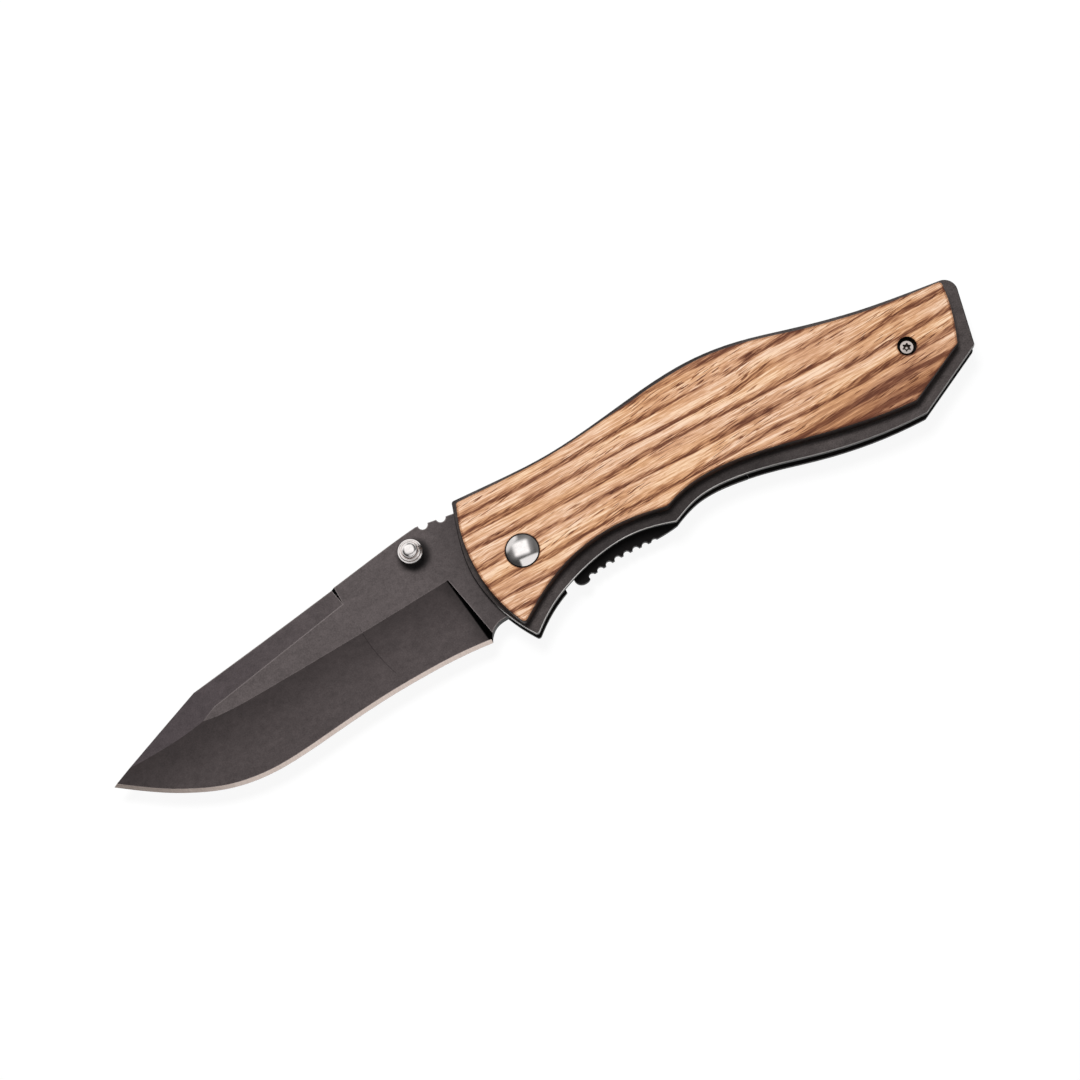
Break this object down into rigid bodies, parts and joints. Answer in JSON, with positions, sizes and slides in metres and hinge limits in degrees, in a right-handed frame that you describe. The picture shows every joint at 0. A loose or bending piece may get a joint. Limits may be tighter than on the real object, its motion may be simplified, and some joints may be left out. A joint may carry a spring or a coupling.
{
  "type": "folding pocket knife",
  "caption": "Folding pocket knife with a coated clip-point blade, thumb stud, steel liners, striped wood scales and a liner lock that holds the blade open.",
  "frame": {"origin": "under the middle of the open knife's box, on the plane of the rear scale's outer face", "axes": "+X from the blade's point to the handle's tail, +Y from the cutting edge to the spine, +Z from the rear scale to the front scale"},
  "size_m": [0.2013, 0.0364, 0.0131],
  "materials": {
    "coated_blade": "matte blasted dark coating with a bare sharpened edge",
    "coated_steel": "matte dark coating, worn along the edges",
    "striped_wood": "oiled tan wood with dark brown stripes",
    "polished_steel": "polished",
    "plain_steel": "satin",
    "bronze": "satin"
  },
  "bodies": {
    "handle": {"front_liner": "coated_steel", "lock_liner": "coated_steel", "front_scale": "striped_wood", "rear_scale": "striped_wood", "back_spacer": "coated_steel", "spacer_pin_front": "plain_steel", "spacer_pin_middle": "plain_steel", "spacer_pin_rear": "plain_steel", "stop_pin": "plain_steel", "front_washer": "bronze", "rear_washer": "bronze", "pivot_barrel": "polished_steel", "pivot_screw": "plain_steel", "front_tail_screw": "plain_steel", "rear_tail_screw": "plain_steel"},
    "blade": {"blade": "coated_blade", "thumb_stud": "polished_steel", "thumb_stud_screw": "plain_steel"},
    "lock_bar": {"lock_bar": "coated_steel", "detent_ball": "polished_steel"}
  },
  "joints": [
    {"name": "blade_fold", "type": "hinge", "parent": "handle", "child": "blade", "pos_m": [-0.00435, -0.00209, 0.0061], "axis": [0, 0, 1], "range_deg": [0, 175]},
    {"name": "lock_bar_flex", "type": "hinge", "parent": "handle", "child": "lock_bar", "pos_m": [0.04367, -0.005, 0.0038], "axis": [0, -1, 0], "range_deg": [0, 1.88], "deforming": ["lock_bar", "detent_ball"]}
  ],
  "couplings": [
    {"joint": "lock_bar_flex", "follows": "blade_fold", "ratio": 0.010717}
  ]
}
